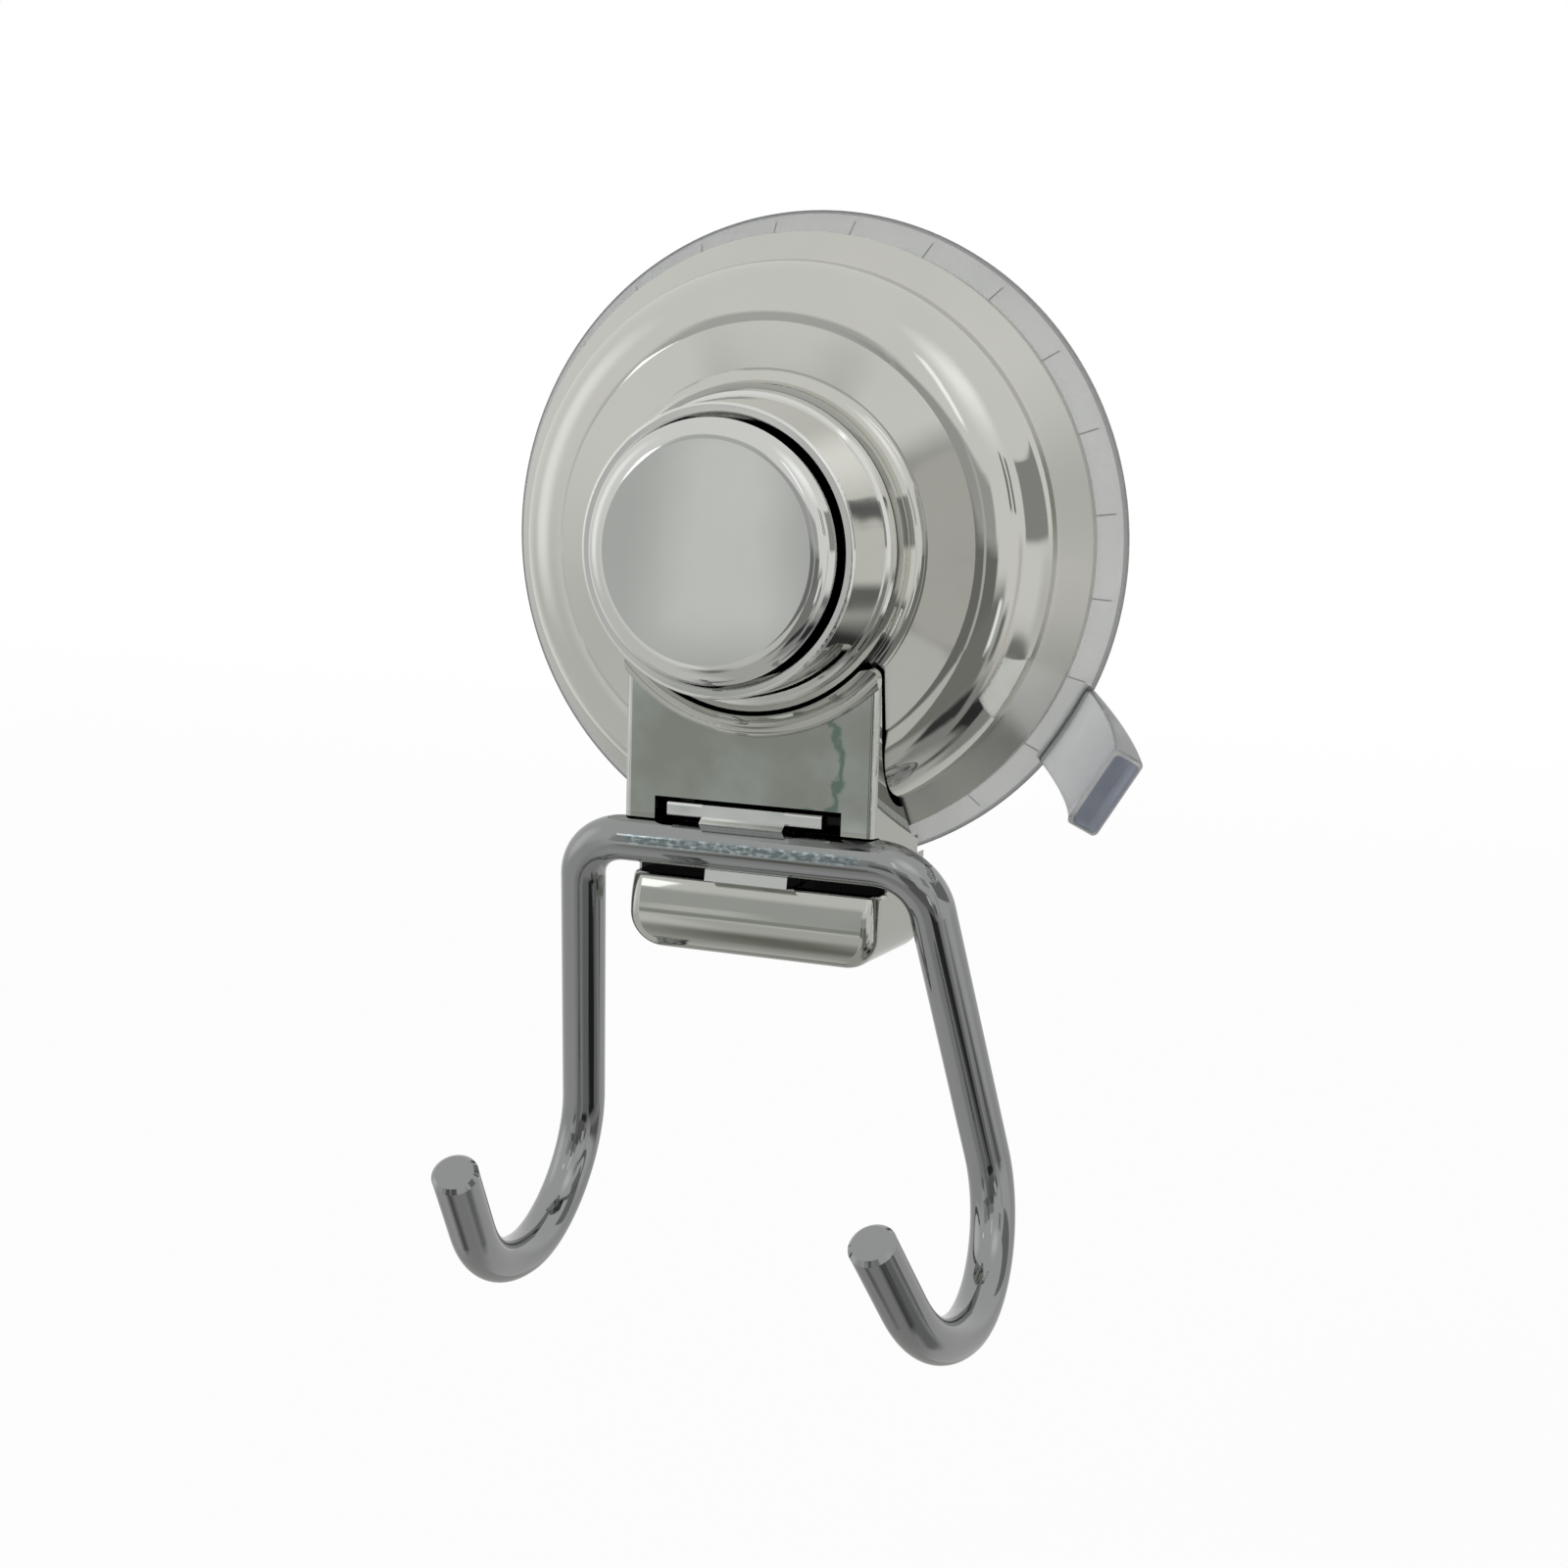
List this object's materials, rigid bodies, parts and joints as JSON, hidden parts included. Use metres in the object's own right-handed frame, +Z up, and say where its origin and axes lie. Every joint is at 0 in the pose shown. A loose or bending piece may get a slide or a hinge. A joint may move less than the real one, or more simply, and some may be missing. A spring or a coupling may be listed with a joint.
{
  "type": "suction cup hook",
  "caption": "Push-button suction cup with a chromed cover and a bracket that carries a hinged bent-wire double hook for hanging towels or bath items on a smooth wall.",
  "frame": {"origin": "centre of the cup's sealing face, on the wall plane", "axes": "+Y points into the wall, -Y out towards the user along the button's travel, +Z up, +X to the right seen from the front"},
  "size_m": [0.0779, 0.0407, 0.1202],
  "materials": {
    "clear_pvc": "clear soft PVC",
    "chromed_plastic": "bright chrome plating on ABS",
    "chromed_wire": "chrome-plated steel wire",
    "white_plastic": "plain moulded",
    "zinc_steel": "zinc plated"
  },
  "bodies": {
    "base": {"suction_cup": "clear_pvc", "dome_cover": "chromed_plastic", "collar_ring": "chromed_plastic", "bracket": "chromed_plastic", "bracket_screws": "zinc_steel", "wire_clip": "chromed_plastic", "clip_screw": "zinc_steel", "return_spring": "zinc_steel"},
    "button": {"push_button": "chromed_plastic", "plunger": "white_plastic", "stem_insert": "white_plastic", "stem_screw": "zinc_steel", "stem_washer": "zinc_steel"},
    "hook": {"wire_hook": "chromed_wire"}
  },
  "joints": [
    {"name": "button_push", "type": "slide", "parent": "base", "child": "button", "axis": [0, 1, 0], "range_m": [0, 0.0026], "stiffness_N_per_m": 1500, "springref_m": -0.002, "deforming": ["return_spring", "suction_cup"]},
    {"name": "hook_swing", "type": "hinge", "parent": "base", "child": "hook", "pos_m": [0, -0.01644, -0.0322], "axis": [-1, 0, 0], "range_deg": [-2, 135]}
  ]
}
